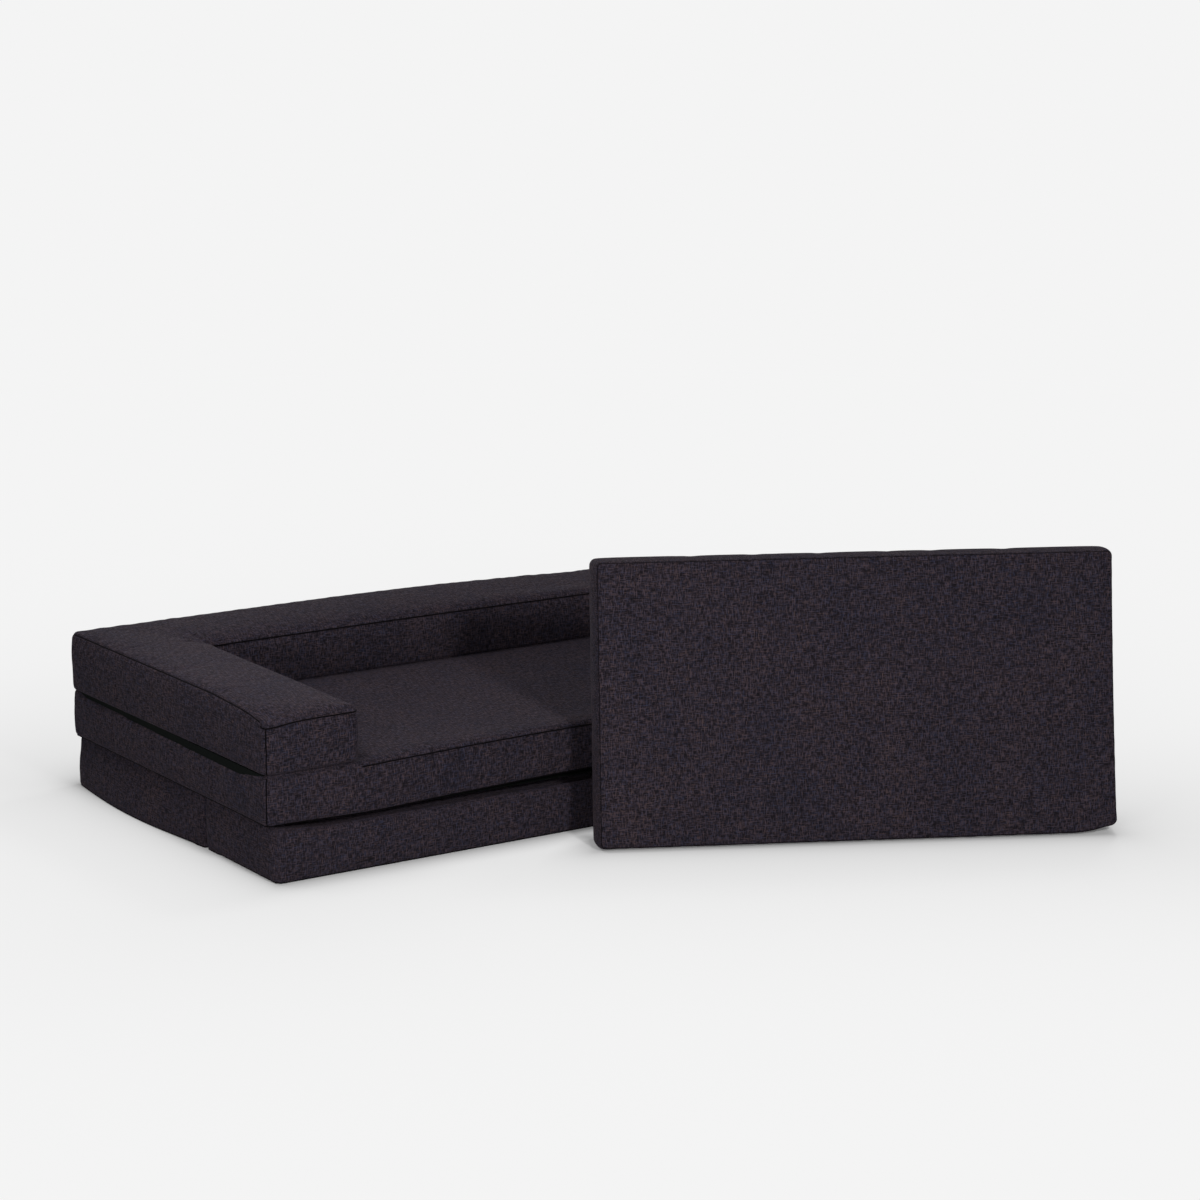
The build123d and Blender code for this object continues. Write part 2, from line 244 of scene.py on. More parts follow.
# %% Room and lamps
ROOM_LIGHT = 0.23
LAMPS = {  # name: its place, the place it shines at, its side in metres and its power in watts
    "key": ((-0.72, -4.83, 2.22), (-0.05, -0.5, 0.3), 0.40, 96),
    "left": ((-3.5, -2.9, 0.8), (-0.8, -0.1, 0.25), 0.8, 56),
    "high_right": ((2.5, 0.7, 4.3), (-0.1, 0.0, 0.2), 0.9, 38),
    "over_arm": ((-0.95, -0.15, 1.35), (-0.72, -0.15, 0.36), 0.35, 4.4),
    "rear": ((1.2, 4.6, 1.0), (0.0, 0.4, 0.25), 1.0, 22),
}
world = bpy.data.worlds.new("pale_room")
room = Finish("pale_room", world)
fill = room.node("ShaderNodeBackground", None, Color=grey(1.0), Strength=ROOM_LIGHT)
backdrop = room.node("ShaderNodeBackground", None, Color=BACKDROP)
room_look = room.node("ShaderNodeMixShader", None, room.seen(), fill, backdrop)
room.surface(room_look, "ShaderNodeOutputWorld")
scene.world = world


def soft_lamp(name, place, aim, size, power):
    """A square lamp that shines from place to aim."""
    lamp = bpy.data.lights.new(name, "AREA")
    lamp.size, lamp.energy = size, power
    holder = bpy.data.objects.new(name, lamp)
    holder.location = place
    holder.rotation_euler = (Vector(aim) - Vector(place)).to_track_quat("-Z", "Y").to_euler()
    scene.collection.objects.link(holder)


for name, setting in LAMPS.items():
    soft_lamp(name, *setting)
scene.view_settings.view_transform = "Standard"
print("lamps", [lamp.name for lamp in bpy.data.lights])

# %% [markdown]
# ## Cloth and small finishes
# The covers are a matt, linen-look weave: near-black aubergine with slubs of blue, brown and purple
# that run along both threads. A picture of cloth could be laid on them, but it would repeat and
# stretch, and noise does neither. A noise that is stretched along one thread makes a slub, two of
# them crossed make the weave, and a slow noise lets the dye vary from place to place. The pattern
# lies on a map in metres, cut along each panel, so it turns with the seams as cloth does.

# %% Woven cover cloth
THREAD_PITCH = 0.0016
SLUB_LONG, SLUB_SHORT = 66.0, 400.0  # cycles of noise in a metre, along a slub and across it
SLUB_STOPS = [(0.46, (0, 0, 0)), (0.66, (1, 1, 1))]
WARP_SHARE, WEFT_SHARE = 0.75, 0.65
OWN_DYE, SHARED_DYE = 0.85, 0.15
PATCH_SCALE = (7.0, 5.0, 6.0)
WARP_SEED, WEFT_SEED, PATCH_SEED = 3.0, 7.0, 17.0
PATCH_DARKEST, PATCH_RANGE = 0.80, 0.3
WEAVE_RELIEF, WEAVE_DEPTH, THREAD_HEIGHT = 0.45, 0.0012, 0.25
CLOTH_ROUGH, SLUB_SMOOTHER, CLOTH_SHINE = 0.97, -0.08, 0.05
SHEEN, SHEEN_ROUGH = 0.03, 0.35
SHEEN_TINT = (0.80, 0.66, 0.78, 1.0)
NEAR_BLACK = (0.0092, 0.0075, 0.0100, 1.0)
SLUB_COLOURS = [
    (0.33, (0.034, 0.040, 0.080)),
    (0.45, (0.055, 0.048, 0.071)),
    (0.56, (0.078, 0.054, 0.066)),
    (0.70, (0.100, 0.065, 0.058)),
]
# The seam cords' cloth is the cover's weave painted near-black, far darker than the cover: painted shade that
# makes each seam read as a dark line.
SEAM_PAINTED_SHADE_BLACK = (0.0008, 0.0006, 0.0008, 1.0)
SEAM_PAINTED_SHADE_COLOURS = [(0.3, (0.002, 0.0018, 0.003)), (0.7, (0.006, 0.004, 0.005))]


def woven(name, dark, slub_colours, along_map=True):
    """Linen-look cloth: a near-black ground, with slubs of several colours along warp and weft."""
    cloth = Finish(name)
    if along_map:
        spot = cloth.node("ShaderNodeUVMap", {"uv_map": "cloth"})
    else:
        spot = cloth.node("ShaderNodeTexCoord", out=3)

    def stretched(scale, seed):
        """Noise with its own scale along each axis, moved so that no two are alike."""
        shift = (seed, seed * 0.7, seed * 0.3)
        placed = cloth.node("ShaderNodeMapping", None, Vector=spot, Scale=scale, Location=shift)
        return cloth.node("ShaderNodeTexNoise", None, Vector=placed, Scale=1.0, Detail=2.0, Roughness=0.65)

    warp = stretched((SLUB_SHORT, SLUB_LONG, SLUB_SHORT), WARP_SEED)
    weft = stretched((SLUB_LONG, SLUB_SHORT, SLUB_LONG), WEFT_SEED)
    patch = stretched(PATCH_SCALE, PATCH_SEED)
    ground, slubs = dark, 0.0
    for thread, share in ((warp, WARP_SHARE), (weft, WEFT_SHARE)):
        slub = cloth.node("ShaderNodeValToRGB", {"stops": SLUB_STOPS}, thread)
        colours = Value(cloth, thread.socket.node.outputs[1])
        own = cloth.node("ShaderNodeSeparateColor", None, colours, out=1)
        dye = own * OWN_DYE + patch * SHARED_DYE
        tint = cloth.node("ShaderNodeValToRGB", {"stops": slub_colours}, dye)
        ground = cloth.mix(slub * share, ground, tint)
        slubs = slub * 0.5 + slubs
    shade = patch * PATCH_RANGE + PATCH_DARKEST
    dyed = cloth.node("ShaderNodeVectorMath", {"operation": "SCALE"}, ground, Scale=shade)
    waves = []
    for axis in (0, 1):
        scale = [0.0, 0.0, 0.0]
        scale[axis] = math.tau / THREAD_PITCH
        turned = cloth.node("ShaderNodeMapping", None, Vector=spot, Scale=scale)
        along = cloth.node("ShaderNodeVectorMath", {"operation": "DOT_PRODUCT"}, turned, (1.0, 1.0, 1.0), out=1)
        waves.append(along.math("SINE"))
    threads = waves[0] * waves[1] * THREAD_HEIGHT + slubs
    bump = cloth.node("ShaderNodeBump", None, Height=threads, Distance=WEAVE_DEPTH, Strength=WEAVE_RELIEF)
    skin = cloth.node(
        "ShaderNodeBsdfPrincipled",
        None,
        Base_Color=dyed,
        Roughness=slubs * SLUB_SMOOTHER + CLOTH_ROUGH,
        Normal=bump,
        Specular_IOR_Level=CLOTH_SHINE,
        Sheen_Weight=SHEEN,
        Sheen_Roughness=SHEEN_ROUGH,
        Sheen_Tint=SHEEN_TINT,
    )
    return cloth.surface(skin)


cover_cloth = woven("cover_cloth", NEAR_BLACK, SLUB_COLOURS)
# The seam cords get this near-black cloth: painted shade along the seams.
edge_cloth = woven("edge_cloth", SEAM_PAINTED_SHADE_BLACK, SEAM_PAINTED_SHADE_COLOURS, along_map=False)
print("cloth with", len(cover_cloth.node_tree.nodes), "nodes")

# %% Lining, tape, metal and foam
PLAIN_FINISHES = {  # name: dark and light shade, grains in a metre, relief, roughness, metal, coat
    "lining_cloth": ((0.0026, 0.0034, 0.0030, 1), (0.0052, 0.0066, 0.0060, 1), 900.0, 0.2, 0.95, 0.0, 0.0),
    "tape_cloth": ((0.008, 0.007, 0.009, 1), (0.02, 0.018, 0.022, 1), 1400.0, 0.6, 0.8, 0.0, 0.0),
    "zip_metal": ((0.02, 0.018, 0.02, 1), (0.06, 0.055, 0.06, 1), 500.0, 0.15, 0.4, 0.6, 0.3),
    "foam": ((0.62, 0.56, 0.40, 1), (0.80, 0.75, 0.58, 1), 700.0, 0.8, 0.95, 0.0, 0.0),
}
BLOTCHES = 14.0  # cycles in a metre of the slow change of shade
BLOTCH_SHARE, GRAIN_SHARE, GRAIN_DEPTH = 0.6, 0.4, 0.0006
PLAIN_SHINE, METAL_SHINE = 0.04, 0.45


def plain_finish(name, dark, light, grain, relief, rough, metallic, coat):
    """A smooth finish with a fine grain, between a dark and a light shade."""
    finish = Finish(name)
    spot = finish.node("ShaderNodeTexCoord", out=3)
    slow = finish.node("ShaderNodeTexNoise", None, Vector=spot, Scale=BLOTCHES, Detail=3.0)
    fine = finish.node("ShaderNodeTexNoise", None, Vector=spot, Scale=grain, Detail=2.0)
    bump = finish.node("ShaderNodeBump", None, Height=fine, Distance=GRAIN_DEPTH, Strength=relief)
    skin = finish.node(
        "ShaderNodeBsdfPrincipled",
        None,
        Base_Color=finish.mix(slow * BLOTCH_SHARE + fine * GRAIN_SHARE, dark, light),
        Roughness=fine * 0.2 + (rough - 0.1),
        Normal=bump,
        Specular_IOR_Level=PLAIN_SHINE + METAL_SHINE * metallic,
        Metallic=metallic,
        Coat_Weight=coat,
    )
    return finish.surface(skin)


plain_finishes = {name: plain_finish(name, *setting) for name, setting in PLAIN_FINISHES.items()}
FINISH_OF_SLOT = {
    "cover_cloth": cover_cloth,
    "piping_cloth": edge_cloth,
    "lining_cloth": plain_finishes["lining_cloth"],
    "foam": plain_finishes["foam"],
    "zip_tape": plain_finishes["tape_cloth"],
    "zip_metal": plain_finishes["zip_metal"],
}
slot_of_node = {row["node"]: row["material_slot"] for row in frame["record"]["subparts"]}
for name, node in frame["nodes"].items():
    for material_slot in node.material_slots:
        material_slot.material = FINISH_OF_SLOT[slot_of_node[name]]
print("finishes given to", len(frame["nodes"]), "solids")

# %% [markdown]
# ## Sewn blocks
# Every block of this sofa is foam in a box-sewn cover: a top panel, a border and a bottom panel.
# The panels meet in rolled edges, the border is drawn in at its seams, and the top has a low crown.
# A mesh of small squares could come from a subdivided cube, but then the rolls would stretch it, so
# the squares are laid out here in rows that are closer together near the edges. Each corner column
# is first rounded in plan, and then each edge is rolled along the way that faces outwards there.

# %% Grid lines
GRID_STEP = 0.015
EDGE_STEPS = 5


def grid_lines(stops, band):
    """Places of grid lines: close together within a band of each stop, and even in between."""
    places = set()
    for first, last in zip(stops, stops[1:]):
        width = min(band, (last - first) / 3)
        count = max(2, round((last - first - 2 * width) / GRID_STEP))
        rows = (
            np.linspace(first, first + width, EDGE_STEPS + 1),
            np.linspace(first + width, last - width, count + 1),
            np.linspace(last - width, last, EDGE_STEPS + 1),
        )
        places.update(round(float(place), 6) for row in rows for place in row)
    return np.array(sorted(places))


print("a 0.3 m block has", len(grid_lines([0.0, 0.3], 0.02)), "lines across")

# %% Which way is out
NOTHING, SAME_SCORE, ON_EDGE, TINY = 1e-9, 1e-7, 1e-6, 1e-5
CORNER_COST = 1e-5


def towards_outline(points, boxes, reach):
    """For a plan of joined rectangles: depth inside it, the way out, and the shift that rounds corners."""
    best = np.full(len(points), -1.0)
    out, shift, count = np.zeros((len(points), 2)), np.zeros((len(points), 2)), np.zeros(len(points))
    for x0, y0, x1, y1 in boxes:
        low, high = points[:, :2] - (x0, y0), (x1, y1) - points[:, :2]
        nearest = np.minimum(low, high)
        depth = nearest.min(axis=1)
        way = np.where(high < low, 1.0, -1.0)
        beyond = way * np.maximum(reach[:, None] - nearest, 0)
        in_corner = (np.abs(beyond) > NOTHING).all(axis=1)
        long = np.maximum(np.linalg.norm(beyond, axis=1), NOTHING)
        most = np.abs(beyond).max(axis=1)
        turn = np.where(in_corner, most / long - 1, 0.0)[:, None] * beyond
        score = depth - np.where(in_corner, CORNER_COST, 0.0)
        better, same = score > best + SAME_SCORE, np.abs(score - best) <= SAME_SCORE
        keep = np.where(better, 0.0, 1.0)
        add = np.where(better | same, 1.0, 0.0)
        out = out * keep[:, None] + beyond / long[:, None] * add[:, None]
        shift = shift * keep[:, None] + turn * add[:, None]
        count = count * keep + add
        best = np.maximum(best, score)
    shift /= np.maximum(count, 1)[:, None]
    out /= np.maximum(np.linalg.norm(out, axis=1), NOTHING)[:, None]
    return np.maximum(best, 0), out, shift


def outline_columns(inside):
    """Grid places round the plan's outline, in order, walked with the plan on the left."""
    after = {}
    wide, deep = inside.shape
    padded = np.pad(inside, 1)
    for i in range(wide):
        for j in range(deep):
            if not inside[i, j]:
                continue
            if not padded[i + 1, j]:
                after[(i, j)] = (i + 1, j)
            if not padded[i + 2, j + 1]:
                after[(i + 1, j)] = (i + 1, j + 1)
            if not padded[i + 1, j + 2]:
                after[(i + 1, j + 1)] = (i, j + 1)
            if not padded[i, j + 1]:
                after[(i, j + 1)] = (i, j)
    walk = [min(after)]
    while after[walk[-1]] != walk[0]:
        walk.append(after[walk[-1]])
    return walk


print("one square has", len(outline_columns(np.ones((1, 1), bool))), "places round it")


# %% A box of small squares
def box_of_squares(name, boxes, xs, ys, zs):
    """A closed mesh over a plan of rectangles, with its cloth map in metres and its columns of points."""
    inside = np.zeros((len(xs) - 1, len(ys) - 1), bool)
    mid_x, mid_y = (xs[:-1] + xs[1:]) / 2, (ys[:-1] + ys[1:]) / 2
    for x0, y0, x1, y1 in boxes:
        inside |= ((mid_x > x0) & (mid_x < x1))[:, None] & ((mid_y > y0) & (mid_y < y1))[None, :]
    index, points, faces, flat = {}, [], [], []

    def vertex(i, j, k):
        key = (i, j, k)
        if key not in index:
            index[key] = len(points)
            points.append((xs[i], ys[j], zs[k]))
        return index[key]

    last = len(zs) - 1
    for i, j in zip(*np.nonzero(inside)):
        square = ((i, j), (i + 1, j), (i + 1, j + 1), (i, j + 1))
        faces.append([vertex(*spot, last) for spot in square])
        faces.append([vertex(*square[n], 0) for n in (0, 3, 2, 1)])
        flat += [(0, 1), (0, 1)]
    walk = outline_columns(inside)
    for here, there in zip(walk, walk[1:] + walk[:1]):
        for k in range(last):
            faces.append([vertex(*here, k), vertex(*there, k), vertex(*there, k + 1), vertex(*here, k + 1)])
            flat.append((0 if here[1] == there[1] else 1, 2))
    points = np.array(points)
    mesh = bpy.data.meshes.new(name)
    mesh.from_pydata(points, [], faces)
    mesh.polygons.foreach_set("use_smooth", [True] * len(mesh.polygons))
    layer = mesh.uv_layers.new(name="cloth")
    loops = np.empty(len(mesh.loops), int)
    mesh.loops.foreach_get("vertex_index", loops)
    axes = np.repeat(np.array(flat), 4, axis=0)
    layer.data.foreach_set("uv", np.take_along_axis(points[loops], axes, axis=1).ravel())
    columns = np.array([[index[(i, j, k)] for k in range(last + 1)] for i, j in walk])
    piece = bpy.data.objects.new(name, mesh)
    scene.collection.objects.link(piece)
    return piece, points, columns


def coordinates(piece):
    """The places of a mesh's vertices as rows of x, y and z."""
    points = np.empty(len(piece.data.vertices) * 3)
    piece.data.vertices.foreach_get("co", points)
    return points.reshape(-1, 3)


def set_coordinates(piece, points):
    """Move a mesh's vertices to these places."""
    piece.data.vertices.foreach_set("co", points.ravel())
    piece.data.update()


print("the floor has", len(coordinates(floor)), "points")


# %% The sewn block
EDGE_BAND = 0.012
DRAW_POWER = 2.5
CROWN_RUN = 0.05
SEAM_SHARE = 0.15
ON_TOP, ON_BOTTOM = 0.999, 0.001  # shares of the height


def sewn_block(name, boxes, heights, stops, corner, foot_roll, top_roll, draw, crown):
    """A closed mesh over a plan made of rectangles, with round corners, rolled edges and a crown.

    corner, foot_roll and top_roll are functions of the flat points. It returns the object and what
    each vertex belongs to: its flat place, height share, depth inside the outline, whether it is on
    a seam, and the outline's columns of vertices.
    """
    bottom, top = heights[0], heights[-1]
    plan_corners = np.array([[x, y, 0.0] for box in boxes for x in box[::2] for y in box[1::2]])
    band = float(corner(plan_corners).max())
    zs = grid_lines(heights, EDGE_BAND)
    piece, sharp, columns = box_of_squares(
        name, boxes, grid_lines(stops[0], band), grid_lines(stops[1], band), zs
    )
    reach = np.maximum(corner(sharp), np.maximum(foot_roll(sharp), top_roll(sharp)))
    depth, out, shift = towards_outline(sharp, boxes, reach)
    share = (sharp[:, 2] - bottom) / (top - bottom)
    upper = share > 0.5
    roll = np.where(upper, top_roll(sharp), foot_roll(sharp))
    side = np.maximum(roll - depth, 0)
    level = np.maximum(roll - np.where(upper, top - sharp[:, 2], sharp[:, 2] - bottom), 0)
    turn = 1 - np.maximum(side, level) / np.maximum(np.hypot(side, level), NOTHING)
    turn = np.where((side > NOTHING) & (level > NOTHING), turn, 0.0)
    pull = draw * np.abs(2 * share - 1) ** DRAW_POWER * side / roll
    rounded = sharp.copy()
    rounded[:, :2] += shift - out * (side * turn + pull)[:, None]
    rounded[:, 2] -= np.where(upper, 1.0, -1.0) * level * turn
    rounded[:, 2] += crown * (1 - np.exp(-depth / CROWN_RUN)) * (share > ON_TOP)
    set_coordinates(piece, rounded)
    seam = (side > SEAM_SHARE * roll) & (level > SEAM_SHARE * roll)
    print(name, len(sharp), "points, outline of", len(columns), "columns")
    return piece, {"flat": sharp, "share": share, "depth": depth, "seam": seam, "columns": columns, "rows": zs}


def constant(value):
    """A roll or corner that is the same everywhere."""
    return lambda points: np.full(len(points), value)


def part_of(values):
    """Values cut to lie from zero to one."""
    return np.clip(values, 0, 1)


def bell(distance, width):
    """One at no distance, and fading smoothly within a few widths."""
    return np.exp(-((distance / width) ** 2))


# %% [markdown]
# ## Swelling
# Foam presses its cover outwards, and the cover can't follow at its seams, so a panel bulges between
# them and puckers beside them. The bulge alone could come from a formula. The puckers come from a
# cloth simulation with pressure inside and no gravity: the points at the seams are held, the panels
# are free, and the last step is kept as the shape. How far a point may move is limited, so no panel
# turns into a balloon.

# %% Swelling with the seams held
SIM_FRAMES = 14
MOST_SUNK = -0.0006
BLOCK_SWELL = (2.0, 0.012, 0.003)  # pressure, growth of the cloth, and the most a point may move
SLAB_SWELL, RAIL_SWELL, CUSHION_SWELL = (2.0, 0.014, 0.004), (2.0, 0.012, 0.0035), (3.0, 0.004, 0.004)
CLOTH_SETTINGS = {
    "quality": 4,
    "mass": 0.25,
    "tension_stiffness": 12,
    "compression_stiffness": 12,
    "shear_stiffness": 4,
    "bending_stiffness": 0.4,
    "use_pressure": True,
    "vertex_group_mass": "held",
}


def normals(piece):
    """Which way each vertex of a mesh faces."""
    values = np.empty(len(piece.data.vertices) * 3)
    piece.data.vertex_normals.foreach_get("vector", values)
    return values.reshape(-1, 3)


def swell(piece, held, pressure, growth, cap):
    """Cloth simulation without gravity: free panels swell and pucker, and held vertices stay."""
    start = coordinates(piece)
    outward = normals(piece)
    group = piece.vertex_groups.new(name="held")
    group.add([int(n) for n in np.nonzero(held)[0]], 1.0, "REPLACE")
    cloth = piece.modifiers.new("swell", "CLOTH")
    for key, setting in CLOTH_SETTINGS.items():
        setattr(cloth.settings, key, setting)
    cloth.settings.uniform_pressure_force = pressure
    cloth.settings.shrink_min = -growth
    cloth.settings.effector_weights.gravity = 0
    cloth.collision_settings.use_collision = False
    cloth.point_cache.frame_start, cloth.point_cache.frame_end = 1, SIM_FRAMES
    for number in range(1, SIM_FRAMES + 1):
        scene.frame_set(number)
    shown = piece.evaluated_get(bpy.context.evaluated_depsgraph_get())
    end = np.empty(start.size)
    shown.data.vertices.foreach_get("co", end)
    move = end.reshape(-1, 3) - start
    far = np.linalg.norm(move, axis=1)
    move *= (cap * np.tanh(far / cap) / np.maximum(far, NOTHING))[:, None]
    along = (move * outward).sum(axis=1)
    move += outward * np.maximum(MOST_SUNK - along, 0)[:, None]
    piece.modifiers.remove(cloth)
    piece.vertex_groups.remove(group)
    scene.frame_set(1)
    set_coordinates(piece, start + move)
    print(piece.name, "swelled by", round(float(along.max()) * 1000, 1), "mm at most")


print("a simulation of", SIM_FRAMES, "steps for each block")


# %% Cloth and body of a sewn piece
def dress(piece, body, nodes):
    """Cloth, body and slot of a sewn piece, and the solids that it stands for, cover and foam."""
    piece.data.materials.append(cover_cloth)
    smooth = piece.modifiers.new("smooth", "SUBSURF")
    smooth.levels = smooth.render_levels = 1
    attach(piece, body)
    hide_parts(*nodes)
    print(piece.name, "stands for", ", ".join(nodes))


# %% [markdown]
# ## Seams and zips
# A sewn seam is a narrow valley with a thin, tight cord of folded cloth in it. The valley is cut by
# drawing one row of the block's points inwards, and the cord is a curve with a round section that
# runs along the same points. It is made after the swelling, so it follows every pucker. On a soft
# roll the cord stands a little out of the cloth, and at the foot of a block it lies in the roll,
# where it only shows as a dark line. The cord's cloth is the cover's weave painted near-black, as
# painted shade along each seam.
#
# A zip's tape doesn't stretch, so it holds the cover back. The zips themselves are solids that stay
# as they are, and the swollen cover is pressed back to the block's face round each one it would bury.

# %% Valleys and seam cords
TOP_VALLEY, SIDE_VALLEY = 0.0026, 0.0022
PLAIN_CORD, THIN_CORD, THICK_CORD = 0.0016, 0.0014, 0.0018
STANDS_OUT, SLAB_FOOT_STANDS_OUT, BLOCK_FOOT_STANDS_OUT = 0.9, 0.2, -0.1


def valley(piece, rows, depth=SIDE_VALLEY):
    """Draw the points of one row inwards."""
    points, outward = coordinates(piece), normals(piece)
    points[rows] -= outward[rows] * depth
    set_coordinates(piece, points)


def seam_cord(name, piece, rows, body, radius=PLAIN_CORD, closed=True, proud=STANDS_OUT, replaced=()):
    """A thin cord along a row of a piece's points; proud is how many radii it stands out."""
    path = coordinates(piece)[rows] + normals(piece)[rows] * radius * proud
    path[:, 2] = np.maximum(path[:, 2], radius)
    curve = bpy.data.curves.new(name, "CURVE")
    curve.dimensions = "3D"
    curve.bevel_depth, curve.bevel_resolution = radius, 2
    line = curve.splines.new("POLY")
    line.points.add(len(path) - 1)
    line.points.foreach_set("co", np.hstack([path, np.ones((len(path), 1))]).ravel())
    line.use_cyclic_u = closed
    cord = bpy.data.objects.new(name, curve)
    scene.collection.objects.link(cord)
    curve.materials.append(edge_cloth)
    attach(cord, body)
    if replaced:
        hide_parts(*replaced)
    ends = np.roll(path, -1, axis=0) if closed else path[1:]
    long = np.linalg.norm(ends - path[:len(ends)], axis=1).sum()
    print(name, "is", round(float(long), 3), "m long")


def nearest_column(place, spot):
    """The outline's column of points that is nearest to a spot in plan."""
    plan = place["flat"][place["columns"][:, 0], :2]
    return place["columns"][np.argmin(np.abs(plan - spot).sum(axis=1))]


print("cords of", PLAIN_CORD, THIN_CORD, "and", THICK_CORD, "m radius")

# %% Room for the zips
ZIP_BAND, ZIP_EASE, TAPE_LIFT = 0.013, 0.030, 0.0006


def hold_flat(piece, face, middle, run, out=0, along=1):
    """Press a swollen cover back to a face along a zip.

    out is the axis that the face looks along, along the one that the zip's run is on, and middle
    the zip's height.
    """
    points = coordinates(piece)
    beside = np.abs(points[:, 2] - middle) - ZIP_BAND
    beyond = np.maximum(run[0] - points[:, along], points[:, along] - run[1])
    held = part_of(1 - np.maximum(beside, beyond) / ZIP_EASE)
    pressed = np.maximum(points[:, out] - face, 0) * held
    points[:, out] -= pressed
    set_coordinates(piece, points)
    print(piece.name, "pressed back by", round(float(pressed.max()) * 1000, 1), "mm at its zip")


# %% [markdown]
# ## Lower blocks
# Two blocks lie side by side under the seat. Their outer corners are the roundest, because nothing
# but cloth and foam makes them, and where the blocks meet they are tight, so only a narrow dark line
# opens there. Only the border is free to swell: the top carries the slab and the bottom lies on the
# floor.
#
# The front block's top edge has sunk along its middle, under the weight that a seat front carries,
# with a trough behind its lip, and that leaves a dark crevice under the slab. The rear block's ends
# belly outwards at the foot.

# %% Sizes of the lower blocks
BASE_FRONT, BASE_SPLIT, BASE_REAR = -0.4775, -0.1535, 0.4775
BASE_TALL, BLOCK_GAP = 0.123, 0.004
BASE_CORNER, FOOT_ROLL, BLOCK_TOP_ROLL = 0.020, 0.010, 0.012
JOINT_CORNER, JOINT_ROLL, JOINT_REACH = 0.009, 0.006, 0.05
JOINT_HELD = 0.012
SIDE_DRAW = 0.003
FRONT_EDGE_ROLL, FRONT_EDGE_SINK, FRONT_EDGE_DEEP, FRONT_EDGE_EASE = 0.013, 0.010, 0.130, 0.040
TROUGH, LIP_DEEP, LIP_EASE, LIP_REACH = 0.012, 0.010, 0.016, 0.03
SUNK_END_EASE = 0.12
BELLY, BELLY_AT_REAR, BELLY_POWER = 0.026, 0.006, 1.2
BORDER_FREE = (0.15, 0.92)  # shares of the height between which the border can swell
FRONT_ZIP, REAR_ZIP = (-0.426, -0.206), (-0.575, 0.575)


def base_round(plain, at_joint):
    """Roundness of the blocks: tighter where they meet."""
    return lambda flat: np.where(np.abs(flat[:, 1] - BASE_SPLIT) < JOINT_REACH, at_joint, plain)


def base_top_roll(flat):
    """The top edge is softest along the front."""
    elsewhere = base_round(BLOCK_TOP_ROLL, JOINT_ROLL)(flat)
    return np.where(flat[:, 1] < BASE_FRONT + LIP_REACH, FRONT_EDGE_ROLL, elsewhere)


def sink_front_edge(points, flat, share):
    """Lower the front block's top behind and along its front edge."""
    middle = part_of((BASE_HALF - np.abs(flat[:, 0])) / SUNK_END_EASE)
    behind_edge = flat[:, 1] - BASE_FRONT
    near_front = part_of((FRONT_EDGE_DEEP - behind_edge) / FRONT_EDGE_EASE)
    trough = near_front * part_of((behind_edge - LIP_DEEP) / LIP_EASE)
    sunk = middle * (FRONT_EDGE_SINK * near_front + TROUGH * trough) * part_of(share * 2 - 1)
    points[:, 2] -= sunk
    print("front edge sunk by", round(float(sunk.max()) * 1000, 1), "mm")


def belly_out(points, flat, share, y0):
    """Let the rear block's ends bulge at the foot, most in the middle of its depth."""
    at_end = np.abs(flat[:, 0]) > BASE_HALF - ON_EDGE
    belly = BELLY * np.sin(np.pi * part_of((flat[:, 1] - y0) / (BASE_REAR - y0)))
    belly += BELLY_AT_REAR * part_of(flat[:, 1] / BASE_REAR)
    points[:, 0] += np.where(at_end, np.sign(flat[:, 0]) * belly * (1 - share) ** BELLY_POWER, 0)


print("lower blocks", 2 * BASE_HALF, "m wide and", BASE_REAR - BASE_FRONT, "m deep together")

# %% Make the lower blocks
for which, y0, y1 in (("front", BASE_FRONT, BASE_SPLIT), ("rear", BASE_SPLIT + BLOCK_GAP, BASE_REAR)):
    block, place = sewn_block(
        which + "_block",
        [(-BASE_HALF, y0, BASE_HALF, y1)],
        [0.0, BASE_TALL],
        ([-BASE_HALF, BASE_HALF], [y0, y1]),
        base_round(BASE_CORNER, JOINT_CORNER),
        base_round(FOOT_ROLL, JOINT_ROLL),
        base_top_roll,
        SIDE_DRAW,
        0.0,
    )
    flat, share = place["flat"], place["share"]
    points = coordinates(block)
    if which == "front":
        sink_front_edge(points, flat, share)
    else:
        belly_out(points, flat, share, y0)
    set_coordinates(block, points)
    free = (share > BORDER_FREE[0]) & (share < BORDER_FREE[1]) & (place["depth"] < ON_EDGE)
    free &= np.abs(flat[:, 1] - BASE_SPLIT) > JOINT_HELD
    swell(block, ~free, *BLOCK_SWELL)
    if which == "front":
        hold_flat(block, BASE_HALF + TAPE_LIFT, BASE_TALL / 2, FRONT_ZIP)
    else:
        hold_flat(block, BASE_REAR + TAPE_LIFT, BASE_TALL / 2, REAR_ZIP, out=1, along=0)
    foot_row = place["columns"][:, 0]
    seam_name = block.name + "_foot_seam"
    seam_cord(seam_name, block, foot_row, "lower_blocks", THICK_CORD, proud=BLOCK_FOOT_STANDS_OUT)
    dress(block, "lower_blocks", ("base_" + which + "_cover", "base_" + which + "_core"))

# %% [markdown]
# ## Seat slab
# The slab is one wide block. Its top is free between the arms and the back, where it has a low
# crown, and it is pressed flat under the rail. Its front edge is a soft roll: the top panel turns
# over it and meets the border in a seam a little below, and the edge arches up between the arms,
# where nothing holds it down. The foot of the border arches too, and sags a little on both sides.
# Along each side the top edge of the border bows down, and the smooth lining shows there as a dark
# strip. The two ends lean outwards towards the rear.

